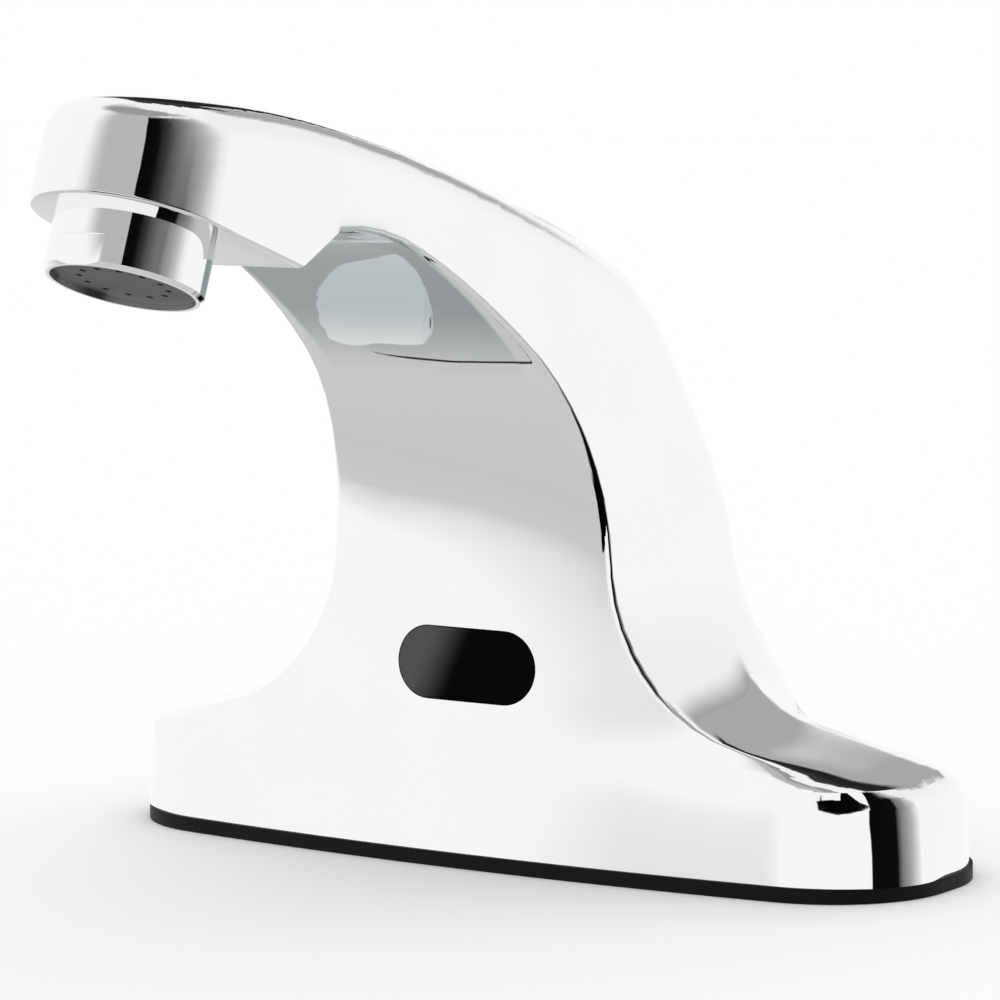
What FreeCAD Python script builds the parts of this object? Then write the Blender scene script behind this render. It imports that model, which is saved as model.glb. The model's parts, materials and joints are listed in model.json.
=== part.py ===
"""Sensor tap: a one-piece cast spout on a two-foot deck base, with the sensor, the valve and the aerator in it.

Millimetres, +Z up. The origin lies on the deck under the middle of the base; the spout points to -Y.
"""
import FreeCAD, Part
import Sketcher
import math
import os
import re

V = FreeCAD.Vector

SIZES = {
    # deck base and casting
    "base_length": 156.0, "base_depth": 55.4, "gasket_thickness": 2.4, "gasket_lip": 0.6,
    "base_draft_angle": 4.0, "foot_wall_height": 10.5, "foot_end_radius": 6.5, "foot_end_turn": 72.0,
    "foot_slope_length": 19.6, "side_fillet_radius": 32.0, "neck_draft_angle": 7.0,
    "base_corner_radius": 21.0, "base_front_bow": 500.0, "base_end_bow": 300.0, "flat_bow": 20000.0,
    "front_edge_radius": 1.6, "back_edge_radius": 14.5, "shoulder_edge_radius": 16.5, "spout_edge_radius": 6.0,
    "front_lean_angle": 3.5, "front_lean_length": 30.0, "front_bow_radius": 260.0,
    "throat_radius": 40.4, "throat_turn": 48.5, "under_radius": 135.0, "under_turn": 14.1,
    "arch_radius": 43.3, "arch_turn": 28.4,
    "back_height": 37.6, "back_radius": 79.3, "back_turn": 46.9, "shoulder_radius": 20.0,
    "shoulder_turn": 16.8, "spout_top_radius": 329.0, "spout_top_turn": 15.8,
    "tip_top_radius": 160.7, "tip_top_turn": 16.0, "top_crown_radius": 60.0,
    "neck_taper": 0.175, "neck_taper_easing": 0.0008, "neck_overrun": 4.0, "top_overrun": 20.0,
    "tip_radius": 16.4, "boss_length": 18.0, "boss_edge_radius": 0.8, "joint_tolerance": 0.03,
    # outlet
    "outlet_reach": 117.2, "outlet_height": 101.4, "outlet_tilt": 20.5, "aerator_drop": 9.5,
    "aerator_radius": 12.3, "aerator_thread_radius": 11.1, "aerator_thread_length": 6.5,
    "aerator_bore_radius": 9.7, "aerator_mouth_radius": 11.1, "aerator_lip_height": 0.8,
    "aerator_flat_height": 4.8, "aerator_flat_depth": 0.7, "thread_clearance": 0.06,
    "socket_depth": 13.0, "socket_step": 2.6, "washer_thickness": 1.6, "washer_width": 3.0,
    "spray_face_thickness": 1.6, "spray_hole_radius": 0.6, "spray_pitch": 6.8, "aerator_edge": 0.6,
    "screen_thickness": 0.4, "screen_rim": 1.0, "screen_height": 1.4,
    "screen_hole_radius": 0.9, "screen_pitch": 5.2,
    "regulator_thickness": 2.2, "regulator_hole_radius": 0.9, "regulator_pitch": 4.0,
    # water way
    "tube_radius": 4.5, "tube_wall": 1.0, "tube_bore_clearance": 0.4, "tube_front": 3.0,
    "tube_foot_level": 22.0, "tube_rise": 6.0, "tube_bend_radius": 38.0, "tube_bend_turn": 62.0,
    "tube_slope_length": 15.0, "tube_ease_radius": 110.0, "tube_ease_turn": 24.0, "tube_end_length": 19.5,
    "passage_lead": 8.5, "tube_sleeve_length": 6.0, "ring_groove_radius": 5.6,
    "ring_groove_height": 2.0, "ring_groove_level": 23.0,
    # hollow of the base
    "chamber_side_gap": 0.5, "chamber_back": 20.0, "chamber_front": 21.4, "chamber_top": 56.0,
    "chamber_front_corner": 2.0, "chamber_back_corner": 9.0, "pocket_half_length": 33.5,
    "pocket_top": 14.6, "pocket_corner": 5.0,
    "stud_spacing": 101.6, "stud_insert_radius": 5.5, "stud_bore_radius": 3.4,
    "stud_insert_length": 11.4, "stud_hole_depth": 10.0, "gasket_hole_radius": 5.0,
    # sensor
    "window_length": 27.0, "window_height": 12.0, "window_level": 34.0, "window_clearance": 0.2,
    "window_flange": 2.0, "window_flange_thickness": 1.5, "window_seal_thickness": 0.5,
    "window_seal_width": 2.6, "housing_depth": 9.6, "housing_wall": 1.6, "housing_height": 17.0,
    "board_thickness": 1.2, "board_clearance": 0.2, "diode_radius": 2.5, "diode_length": 2.2,
    "diode_spacing": 12.0, "chip_length": 4.0, "chip_thickness": 1.0,
    "ear_gap": 0.6, "ear_thickness": 2.0, "ear_radius": 2.3, "sensor_screw_radius": 1.2,
    "sensor_screw_grip": 2.0, "sensor_screw_head": 2.1, "sensor_screw_head_height": 1.3,
    "gland_radius": 3.2, "gland_lip": 1.2, "gland_bore_radius": 1.8, "gland_side": 14.0, "gland_front": 14.5,
    # base plate
    "plate_thickness": 1.6, "plate_edge_gap": 0.4, "plate_level": 4.0, "plate_corner": 4.0,
    "plate_screw_offset": 27.5, "plate_screw_radius": 2.0, "plate_screw_length": 8.0,
    "plate_screw_head": 3.6, "plate_screw_head_height": 1.5,
    # valve block and inlet
    "block_gap": 0.4, "block_front": 9.0, "block_top": 28.0,
    "block_corner": 9.4, "block_screw_side": 16.5, "block_screw_front": 5.0, "block_screw_radius": 1.25,
    "block_screw_grip": 6.0, "block_screw_head": 2.3, "valve_back": 9.0, "inlet_side": 10.0,
    "inlet_radius": 8.7, "inlet_flange_radius": 9.4, "inlet_thread_radius": 7.48,
    "inlet_thread_depth": 7.4, "inlet_bottom": 0.6, "inlet_shoulder": 10.0, "inlet_spigot_radius": 6.4,
    "inlet_spigot_length": 4.0, "inlet_groove_depth": 1.1, "inlet_groove_height": 1.6,
    "inlet_bore_radius": 3.0, "strainer_thickness": 1.0, "strainer_radius": 5.0,
    "strainer_hole_radius": 0.8, "strainer_pitch": 2.1,
    # check valve
    "check_bore_radius": 4.6, "check_radius": 4.0, "check_thickness": 1.4, "check_stem_radius": 1.2,
    "check_stem_length": 8.0, "check_travel": 2.4, "check_roof": 1.8, "guide_thickness": 1.6,
    "guide_step": 0.7, "guide_pitch": 2.8, "guide_hole_radius": 0.8,
    "check_spring_radius": 2.5, "check_spring_wire": 0.45, "check_spring_closed": 1.75,
    # main valve
    "seat_side": 9.5, "ledge_radius": 9.6, "ledge_depth": 1.4, "annulus_radius": 8.2,
    "annulus_depth": 5.0, "seat_radius": 4.2, "seat_bore_radius": 3.0, "port_radius": 2.0,
    "port_level": 24.0, "outlet_level": 19.0, "outlet_port_radius": 2.2, "cross_port_radius": 2.0,
    "riser_radius": 3.2, "drill_depth": 0.8,
    "web_thickness": 1.2, "rim_width": 1.9, "disc_radius": 5.0, "disc_thickness": 1.45,
    "disc_bore_radius": 0.8, "disc_travel": 1.6, "pilot_radius": 7.0, "pilot_gap": 0.5,
    "bonnet_thickness": 5.5, "bonnet_radius": 10.1, "bonnet_ear_radius": 2.1,
    "bonnet_ear_thickness": 3.0, "bonnet_screw_radius": 1.0, "bonnet_screw_grip": 6.0,
    "bonnet_screw_head": 1.8, "bonnet_screw_head_height": 1.2,
    # solenoid
    "plunger_radius": 3.4, "plunger_length": 14.0, "plunger_gap": 0.3, "plunger_travel": 2.0,
    "plunger_clearance": 0.08, "plunger_pocket_radius": 2.6, "plunger_pocket_depth": 6.5,
    "pilot_seat_radius": 2.2, "pilot_seat_height": 1.6, "core_wall": 0.7, "core_recess": 1.5,
    "stop_gap": 0.3, "stop_head_radius": 5.2, "stop_head_height": 1.2, "plunger_spring_radius": 2.1,
    "plunger_spring_wire": 0.4, "coil_radius": 7.6, "coil_length": 11.5,
    "coil_flange": 0.9, "coil_hub_wall": 0.9, "coil_depth": 0.5, "yoke_thickness": 1.2,
    "yoke_half_width": 6.5, "yoke_gap": 0.3, "fit_clearance": 0.05,
}

doc = FreeCAD.newDocument("sensor_tap")
sheet = doc.addObject("Spreadsheet::Sheet", "sizes")
for row, (alias, size) in enumerate(SIZES.items(), start=1):
    sheet.set("A%d" % row, alias)
    sheet.set("B%d" % row, str(size))
    sheet.setAlias("B%d" % row, alias)
doc.recompute()


def size(alias):
    """the sheet's value of one size"""
    return float(getattr(sheet, alias))


def bind(obj, **formulas):
    """ties properties of obj to formulas of the sheet's sizes"""
    for prop, formula in formulas.items():
        tied = re.sub(r"\b([a-z][a-z_]*)\b(?!\()", r"sizes.\1", str(formula))
        obj.setExpression(prop.replace("__", "."), tied)
    return obj


def label(obj, name):
    obj.Label = name
    return obj


# ---------------------------------------------------------------- plain solids tied to the sheet

def cylinder(radius, height, x="0", y="0", z="0"):
    """upright round bar; z is its lower face"""
    obj = doc.addObject("Part::Cylinder", "bar")
    bind(obj, Radius=radius, Height=height)
    return bind(obj, Placement__Base__x=x, Placement__Base__y=y, Placement__Base__z=z)


def lying_cylinder(radius, height, x, y, z):
    """round bar along +Y; y is its front face"""
    obj = cylinder(radius, height)
    obj.Placement.Rotation = FreeCAD.Rotation(V(1, 0, 0), -90)
    return bind(obj, Placement__Base__x=x, Placement__Base__y=y, Placement__Base__z=z)


def cross_cylinder(radius, height, x, y, z):
    """round bar along +X; x is its left face"""
    obj = cylinder(radius, height)
    obj.Placement.Rotation = FreeCAD.Rotation(V(0, 1, 0), 90)
    return bind(obj, Placement__Base__x=x, Placement__Base__y=y, Placement__Base__z=z)


def box(x_low, x_high, y_low, y_high, z_low, z_high):
    obj = doc.addObject("Part::Box", "block")
    bind(obj, Length="(%s) - (%s)" % (x_high, x_low), Width="(%s) - (%s)" % (y_high, y_low))
    bind(obj, Height="(%s) - (%s)" % (z_high, z_low))
    return bind(obj, Placement__Base__x=x_low, Placement__Base__y=y_low, Placement__Base__z=z_low)


def cut(base, *tools):
    for tool in tools:
        obj = doc.addObject("Part::Cut", "cut")
        obj.Base = base
        obj.Tool = tool
        base = obj
    return base


def fuse(*shapes):
    obj = doc.addObject("Part::MultiFuse", "fuse")
    obj.Shapes = list(shapes)
    return obj


def tube(outer, inner, height, x="0", y="0", z="0"):
    return cut(cylinder(outer, height, x, y, z), cylinder(inner, height, x, y, z))


def group(*shapes):
    """separate solids of one kind that share a node"""
    obj = doc.addObject("Part::Compound", "group")
    obj.Links = list(shapes)
    return obj


def rounded(base, edge_test, radius):
    """Part fillet on the edges that pass the test, all with one radius taken from the sheet"""
    doc.recompute()
    picked = [i for i, edge in enumerate(base.Shape.Edges, start=1) if edge_test(edge)]
    obj = doc.addObject("Part::Fillet", "rounded")
    obj.Base = base
    obj.Edges = [(i, size(radius), size(radius)) for i in picked]
    return obj


def upright(edge):
    """a straight edge along Z"""
    box_ = edge.BoundBox
    return box_.XLength < 1e-6 and box_.YLength < 1e-6


def stadium(length, height, y_low, y_high, level):
    """flat-sided bar with round ends, lying across, between two depths"""
    flat = "(%s) / 2 - (%s) / 2" % (length, height)
    depth = "(%s) - (%s)" % (y_high, y_low)
    middle = box("-(%s)" % flat, flat, y_low, y_high, "%s - (%s) / 2" % (level, height),
                 "%s + (%s) / 2" % (level, height))
    ends = [lying_cylinder("(%s) / 2" % height, depth, side + "(%s)" % flat, y_low, level) for side in ("-", "")]
    return fuse(middle, *ends)


def free_shape(name, shape):
    """a free-form solid that Part's own functions make"""
    obj = doc.addObject("Part::Feature", name)
    obj.Shape = shape
    return obj


# ---------------------------------------------------------------- sketched bodies

def body(name):
    obj = doc.addObject("PartDesign::Body", name)
    obj.Label = name
    return obj


def sketch_on(owner, role, name):
    plane = [f for f in owner.Origin.OriginFeatures if f.Role == role][0]
    sketch = owner.newObject("Sketcher::SketchObject", name)
    sketch.AttachmentSupport = [(plane, "")]
    sketch.MapMode = "FlatFace"
    return sketch


def tie(sketch, constraint, formula):
    """adds a constraint whose value is a formula of the sheet's sizes"""
    index = sketch.addConstraint(constraint)
    bind(sketch, **{"Constraints[%d]" % index: formula})


def add_circle(sketch, radius, x="0", y="0"):
    n = sketch.addGeometry(Part.Circle(V(1, 1, 0), V(0, 0, 1), 1.0))
    tie(sketch, Sketcher.Constraint("Radius", n, 1.0), radius)
    tie(sketch, Sketcher.Constraint("DistanceX", -1, 1, n, 3, 1.0), x)
    tie(sketch, Sketcher.Constraint("DistanceY", -1, 1, n, 3, 1.0), y)


def add_polygon(sketch, corners):
    """closed outline through (x, y) formulas"""
    count = len(corners)
    rough = [V(10 * math.cos(6.283 * k / count), 10 * math.sin(6.283 * k / count), 0) for k in range(count)]
    lines = [sketch.addGeometry(Part.LineSegment(rough[k], rough[(k + 1) % count])) for k in range(count)]
    for this, following in zip(lines, lines[1:] + lines[:1]):
        sketch.addConstraint(Sketcher.Constraint("Coincident", this, 2, following, 1))
    for line, (x, y) in zip(lines, corners):
        tie(sketch, Sketcher.Constraint("DistanceX", -1, 1, line, 1, 1.0), x)
        tie(sketch, Sketcher.Constraint("DistanceY", -1, 1, line, 1, 1.0), y)


def turned(name, profile, x="0", y="0", z="0"):
    """a body turned about its own upright axis; profile is a closed list of (radius, height)"""
    owner = body(name)
    sketch = sketch_on(owner, "XZ_Plane", "profile")
    add_polygon(sketch, profile)
    turn = owner.newObject("PartDesign::Revolution", "turn")
    turn.Profile = sketch
    turn.ReferenceAxis = (sketch, ["V_Axis"])
    turn.Angle = 360
    return bind(owner, Placement__Base__x=x, Placement__Base__y=y, Placement__Base__z=z)


def ring_of_holes(owner, radius, pitch, count, turn=0.0, sides=6):
    """holes with flat sides through the body, spaced evenly on a circle"""
    sketch = sketch_on(owner, "XY_Plane", "holes")
    corners = [360 * (k + 0.5) / sides for k in range(sides)]
    add_polygon(sketch, [("(%s) * cos(%s) + (%s) * cos(%s)" % (pitch, turn, radius, corner),
                          "(%s) * sin(%s) + (%s) * sin(%s)" % (pitch, turn, radius, corner)) for corner in corners])
    pocket = owner.newObject("PartDesign::Pocket", "hole")
    pocket.Profile = sketch
    pocket.Type = "ThroughAll"
    pocket.Midplane = True
    doc.recompute()
    pattern = owner.newObject("PartDesign::PolarPattern", "ring")
    pattern.Originals = [pocket]
    pattern.Axis = ([f for f in owner.Origin.OriginFeatures if f.Role == "Z_Axis"][0], [""])
    pattern.Angle = 360
    pattern.Occurrences = count
    owner.Tip = pattern
    return owner


def seal_ring(name, inner, outer, x, y, middle):
    """square-section seal that fills its groove"""
    half = "((%s) - (%s)) / 2" % (outer, inner)
    return turned(name, [(inner, "-" + half), (outer, "-" + half), (outer, half), (inner, half)], x, y, middle)


def spring_sleeve(name, radius, wire, low, high, x, y):
    """the space of a small hidden spring, as a plain tube"""
    inner, outer = "%s - %s / 2" % (radius, wire), "%s + %s / 2" % (radius, wire)
    tall = "%s - (%s)" % (high, low)
    return turned(name, [(inner, "0"), (outer, "0"), (outer, tall), (inner, tall)], x, y, low)


# ---------------------------------------------------------------- outlines of arcs and lines

class Outline:
    """tangent arcs and lines in one plane, walked by length; headings in degrees from the first axis"""

    def __init__(self, u, v, heading):
        self.runs, self.end, self.heading = [], (u, v), heading

    def line(self, length):
        return self.add(("line", length, self.end, self.heading, 0.0))

    def arc(self, radius, turn):
        """turn in degrees, to the left when positive"""
        length = radius * math.radians(abs(turn))
        return self.add(("arc", length, self.end, self.heading, math.copysign(radius, turn)))

    def add(self, run):
        self.runs.append(run)
        self.end, self.heading = self.along(run, run[1])
        return self

    @staticmethod
    def along(run, distance):
        kind, _, (u, v), heading, radius = run
        h = math.radians(heading)
        if kind == "line":
            return (u + distance * math.cos(h), v + distance * math.sin(h)), heading
        turned = h + distance / radius
        return ((u + radius * (math.sin(turned) - math.sin(h)),
                 v - radius * (math.cos(turned) - math.cos(h))), math.degrees(turned))

    @property
    def length(self):
        return sum(run[1] for run in self.runs)

    def at(self, distance):
        for run in self.runs:
            if distance <= run[1]:
                return self.along(run, distance)
            distance -= run[1]
        return self.end, self.heading

    def where(self, test, low, high):
        """the distance between low and high at which test(point) changes sign"""
        return bisect(lambda d: test(self.at(d)[0]), low, high)

    def edges(self, place):
        """the outline as edges; place(u, v) gives each point in space"""
        made = []
        for run in self.runs:
            points = [place(*self.along(run, run[1] * k / 2)[0]) for k in range(3)]
            if run[0] == "line":
                made.append(Part.makeLine(points[0], points[2]))
            else:
                made.append(Part.Arc(*points).toShape())
        return made


def bisect(function, low, high):
    sign = function(low) > 0
    for _ in range(60):
        middle = (low + high) / 2
        if (function(middle) > 0) == sign:
            low = middle
        else:
            high = middle
    return (low + high) / 2


def ease(stations, x):
    """smooth steps through (x, value) stations"""
    for (x0, v0), (x1, v1) in zip(stations, stations[1:]):
        if x <= x1:
            t = max(0.0, (x - x0) / (x1 - x0))
            return v0 + (v1 - v0) * t * t * (3 - 2 * t)
    return stations[-1][1]


# ---------------------------------------------------------------- the casting's outlines

def side_of_foot():
    """half of the casting seen from the front, (x, z): end wall, foot top, side fillet, neck"""
    draft = size("base_draft_angle")
    outline = Outline(size("base_length") / 2 - size("gasket_lip"), size("gasket_thickness"), 90 + draft)
    outline.line(size("foot_wall_height")).arc(size("foot_end_radius"), size("foot_end_turn"))
    outline.line(size("foot_slope_length"))
    return outline.arc(size("side_fillet_radius"), 90 + size("neck_draft_angle") - outline.heading).line(size("neck_overrun"))


def front_of_casting():
    """the front face and the spout's underside at the middle, (y, z)"""
    start = -size("base_depth") / 2 + size("gasket_lip")
    outline = Outline(start, size("gasket_thickness"), 90 - size("front_lean_angle"))
    outline.line(size("front_lean_length")).arc(size("front_bow_radius"), size("front_lean_angle") + 2)
    neck = outline.length
    outline.arc(size("throat_radius"), size("throat_turn")).arc(size("under_radius"), size("under_turn"))
    outline.arc(size("arch_radius"), size("arch_turn"))
    return outline, neck


def back_of_casting():
    """the back and the spout's top at the middle, (y, z)"""
    outline = Outline(size("base_depth") / 2 - size("gasket_lip"), size("gasket_thickness"), 91.0)
    outline.line(size("back_height")).arc(size("back_radius"), size("back_turn"))
    outline.arc(size("shoulder_radius"), size("shoulder_turn"))
    outline.arc(size("spout_top_radius"), size("spout_top_turn"))
    return outline.arc(size("tip_top_radius"), size("tip_top_turn")).line(size("top_overrun"))


def outlet_frame():
    """centre of the boss face, and the unit axis up through the outlet"""
    tilt = math.radians(size("outlet_tilt"))
    axis = V(0, math.sin(tilt), math.cos(tilt))
    return V(0, -size("outlet_reach"), size("outlet_height")) + axis * size("aerator_drop"), axis


# ---------------------------------------------------------------- the casting's sections

def section(front, back, half_width, front_radius, back_radius, front_bow, side_bow, back_bow):
    """closed wire of eight tangent arcs between a front and a back point (y, z), square to the YZ plane"""
    depth = math.hypot(back[0] - front[0], back[1] - front[1])
    ey, ez = (back[0] - front[0]) / depth, (back[1] - front[1]) / depth
    middle = depth / 2

    def corner(radius, bow, reach):
        """angle on the side arc at which it meets a corner of this radius"""
        def gap(angle):
            u = half_width - side_bow + (side_bow - radius) * math.cos(angle)
            v = bow - reach + (side_bow - radius) * math.sin(angle)
            return math.hypot(u, v) - (bow - radius)
        return bisect(gap, 0.0, math.asin(min(1.0, reach / side_bow)))

    def half(radius, bow, reach, sign):
        """front or back half of one side: three points on the corner, and the end of the face's arc"""
        angle = corner(radius, bow, reach)
        cx = half_width - side_bow + (side_bow - radius) * math.cos(angle)
        cv = (side_bow - radius) * math.sin(angle)
        face = math.atan2(bow - reach + cv, cx)
        on = lambda a: (cx + radius * math.cos(a), middle + sign * (cv + radius * math.sin(a)))
        return on(face), on((face + angle) / 2), on(angle)

    face_front, corner_front, side_front = half(front_radius, front_bow, middle, -1)
    face_back, corner_back, side_back = half(back_radius, back_bow, depth - middle, 1)

    def place(point, side=1):
        return V(side * point[0], front[0] + ey * point[1], front[1] + ez * point[1])

    def arc(a, b, c, sides=(1, 1, 1)):
        return Part.Arc(place(a, sides[0]), place(b, sides[1]), place(c, sides[2])).toShape()

    waist = (half_width, middle)
    left = (-1, -1, -1)
    return Part.Wire([
        arc(face_front, (0, 0), face_front, (-1, 1, 1)), arc(face_front, corner_front, side_front),
        arc(side_front, waist, side_back), arc(side_back, corner_back, face_back),
        arc(face_back, (0, depth), face_back, (1, 1, -1)), arc(face_back, corner_back, side_back, left),
        arc(side_back, waist, side_front, left), arc(side_front, corner_front, face_front, left)])


def base_sections():
    """level sections from the gasket up over the feet to the neck"""
    side, (front, _), back = side_of_foot(), front_of_casting(), back_of_casting()
    bow, end_bow, corner = size("base_front_bow"), size("base_end_bow"), size("base_corner_radius")
    wall = size("foot_wall_height")
    top = wall + size("foot_end_radius") * math.radians(size("foot_end_turn"))
    slope = top + size("foot_slope_length")
    length = side.length
    stops = []
    for low, high, steps in ((0, wall, 2), (wall, top, 4), (top, slope, 4), (slope, length, 10)):
        stops += [low + (high - low) * k / steps for k in range(steps)]
    for stop in stops:
        (x, z), _ = side.at(stop)
        y_front = front.at(front.where(lambda p: p[1] - z, 0, front.length))[0][0]
        y_back = back.at(back.where(lambda p: p[1] - z, 0, back.length))[0][0]
        front_radius = ease([(wall, corner), (top, corner * 0.6), (slope, size("front_edge_radius") * 1.6),
                             (length, size("front_edge_radius"))], stop)
        back_radius = ease([(wall, corner), (slope, size("back_edge_radius"))], stop)
        yield ((y_front, z), (y_back, z), x, front_radius, back_radius,
               ease([(wall, bow), (slope, bow * 0.7), (length, bow)], stop),
               end_bow, ease([(wall, bow), (length, bow * 0.4)], stop))


def spout_sections():
    """sections that fan round the throat from level to square with the outlet"""
    (front, neck), back = front_of_casting(), back_of_casting()
    width = side_of_foot().end[0]
    start = front.at(neck)[1]
    reach = front.length - neck
    count = 16
    for k in range(count + 1):
        run = reach * k / count
        point, heading = front.at(neck + run)
        lean = math.radians(min(1.0, (heading - start) / (180 - start)) * (90 - size("outlet_tilt")))
        ray = (math.cos(lean), math.sin(lean))
        off = lambda p: (p[0] - point[0]) * ray[1] - (p[1] - point[1]) * ray[0]
        hit = back.at(back.where(off, size("back_height") / 2, back.length))[0]
        half_width = width - size("neck_taper") * run + size("neck_taper_easing") * run * run
        share = run / reach
        yield (point, hit, half_width, size("front_edge_radius"),
               ease([(0.0, size("back_edge_radius")), (0.12, size("shoulder_edge_radius")),
                     (0.4, size("spout_edge_radius") * 1.6), (1.0, size("spout_edge_radius"))], share),
               ease([(0.0, size("base_front_bow")), (1.0, size("flat_bow"))], share),
               ease([(0.0, size("base_end_bow")), (1.0, size("flat_bow"))], share),
               ease([(0.0, size("base_front_bow") * 0.4), (0.8, size("top_crown_radius"))], share))


def tip_solid(last):
    """round end of the spout: its wall stands along the outlet's axis, its top follows the spout"""
    front, hit, half_width = last[:3]
    centre, axis = outlet_frame()
    across = V(0, axis.z, -axis.y)
    radius = size("tip_radius")
    low_level, top_level = -radius / 4, 2.5 * radius
    reach = across.dot(V(0, *front) - centre)

    def place(x, along, level=low_level):
        return centre + V(x, 0, 0) + across * along + axis * level

    plan = Part.Wire([Part.makeLine(place(half_width, reach), place(radius, 0)),
                      Part.Arc(place(radius, 0), place(0, -radius), place(-radius, 0)).toShape(),
                      Part.makeLine(place(-radius, 0), place(-half_width, reach)),
                      Part.makeLine(place(-half_width, reach), place(half_width, reach))])
    post = Part.Face(plan).extrude(axis * (top_level - low_level))
    start = V(0, *front)
    profile = [start, place(0, size("boss_length"), 0), place(0, -3 * radius, 0),
               place(0, -3 * radius, top_level), place(0, reach, top_level), start]
    below = Part.Face(Part.makePolygon(profile)).extrude(V(4 * radius, 0, 0))
    below.translate(V(-2 * radius, 0, 0))
    tip = post.common(below).common(top_cover(hit))
    rim = [edge for edge in tip.Edges if is_top_rim(edge, centre, axis, across, reach)]
    tip = tip.makeFillet(size("spout_edge_radius"), rim)
    lower = [edge for edge in tip.Edges if is_lower_rim(edge, centre, axis, across, reach)]
    return tip.makeFillet(size("boss_edge_radius"), lower)


def levels(edge, centre, direction):
    """least and greatest distance of an edge from a point along a direction"""
    found = [direction.dot(edge.valueAt(edge.FirstParameter + (edge.LastParameter - edge.FirstParameter) * k / 6)
             - centre) for k in range(7)]
    return min(found), max(found)


def is_top_rim(edge, centre, axis, across, reach):
    return levels(edge, centre, axis)[0] > size("tip_radius") / 2 and levels(edge, centre, across)[0] < 0.97 * reach


def is_lower_rim(edge, centre, axis, across, reach):
    low, high = levels(edge, centre, axis)
    return abs(low) < 0.01 and high < 0.01 and levels(edge, centre, across)[0] < 0.95 * size("boss_length")


def top_cover(start_point):
    """everything under the spout's top from its last section on, crowned like that section"""
    back = back_of_casting()
    axis = outlet_frame()[1]
    crown, count = size("top_crown_radius"), 6
    half, depth = 1.8 * size("tip_radius"), 4 * size("tip_radius")
    start = back.where(lambda p: p[0] - start_point[0], back.length / 2, back.length)
    sag = crown - math.sqrt(crown ** 2 - half ** 2)
    sections = []
    for k in range(count + 1):
        top = V(0, *back.at(start + (back.length - start) * k / count)[0])
        left, right = top - axis * sag - V(half, 0, 0), top - axis * sag + V(half, 0, 0)
        low_left, low_right = left - axis * depth, right - axis * depth
        sections.append(Part.Wire([Part.Arc(left, top, right).toShape(), Part.makeLine(right, low_right),
                                   Part.makeLine(low_right, low_left), Part.makeLine(low_left, left)]))
    return Part.makeLoft(sections, True, False)


# ---------------------------------------------------------------- places that several pieces share

PLATE_TOP = "(plate_level + plate_thickness)"
PLATE_HALF = "(pocket_half_length - plate_edge_gap)"
PLATE_FRONT = "(-chamber_front + plate_edge_gap)"
PLATE_BACK = "(chamber_back - plate_edge_gap)"
THREAD_TOP = "(inlet_bottom + inlet_thread_depth)"
SPIGOT_TOP = "(inlet_shoulder + inlet_spigot_length)"
GUIDE_LEVEL = "(%s + fit_clearance + check_thickness + check_travel + check_spring_closed)" % SPIGOT_TOP
LEDGE = "(block_top - ledge_depth)"
WEB_TOP = "(block_top - ledge_depth + web_thickness)"
DISC_FOOT = "(block_top - ledge_depth + web_thickness + fit_clearance)"
PILOT_ROOF = "(%s + disc_thickness + disc_travel + pilot_gap)" % DISC_FOOT
PLUNGER_FOOT = "(block_top - ledge_depth + web_thickness + fit_clearance + disc_thickness + plunger_gap)"
BONNET_TOP = "(block_top + bonnet_thickness)"
BONNET_REACH = "(bonnet_radius + bonnet_screw_head + 2 * fit_clearance)"
CORE_FOOT = "(block_top + bonnet_thickness - core_recess)"
CORE_TOP = "(block_top + bonnet_thickness + 2 * yoke_thickness + coil_length)"
CORE_BORE = "(plunger_radius + plunger_clearance)"
CORE_OUTER = "(plunger_radius + plunger_clearance + core_wall)"
WALL_INSIDE = "(-chamber_front)"
FLANGE_BACK = "(-chamber_front + window_flange_thickness)"
HOUSING_FRONT = "(-chamber_front + window_flange_thickness + window_seal_thickness)"
HOUSING_HALF = "(window_length / 2 + window_flange)"
EAR_SIDE = "(window_length / 2 + window_flange + sensor_screw_head + ear_gap)"
CHAMBER_HALF = "(window_length / 2 + window_flange + sensor_screw_head + ear_gap + ear_radius + chamber_side_gap)"
BLOCK_HALF = "(%s - block_gap)" % CHAMBER_HALF
BLOCK_BACK = "(chamber_back - block_gap)"
BOARD_BACK = "(-chamber_front + window_flange_thickness + window_seal_thickness + housing_depth - housing_wall)"
SOCKET_SHOULDER = "(aerator_thread_length + washer_thickness)"
SPRAY_FOOT = "(aerator_lip_height - aerator_drop)"
SPRAY_TOP = "(aerator_lip_height - aerator_drop + spray_face_thickness)"


def on_outlet(obj, level="0"):
    """stands an upright piece on the tilted axis of the outlet; level 0 is the boss face"""
    obj.Placement.Rotation = FreeCAD.Rotation(V(-1, 0, 0), size("outlet_tilt"))
    reach = "(aerator_drop + %s)" % level
    bind(obj, Placement__Rotation__Angle="outlet_tilt")
    return bind(obj, Placement__Base__y="-outlet_reach + %s * sin(outlet_tilt)" % reach,
                Placement__Base__z="outlet_height + %s * cos(outlet_tilt)" % reach)


def water_path(start_level, end_length):
    """the spout tube's middle line from a level in the valve chamber towards the outlet"""
    path = Outline(-size("tube_front"), start_level, 90)
    path.line(size("chamber_top") + size("tube_rise") - start_level)
    path.arc(size("tube_bend_radius"), size("tube_bend_turn")).line(size("tube_slope_length"))
    return path.arc(size("tube_ease_radius"), size("tube_ease_turn")).line(end_length)


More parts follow.
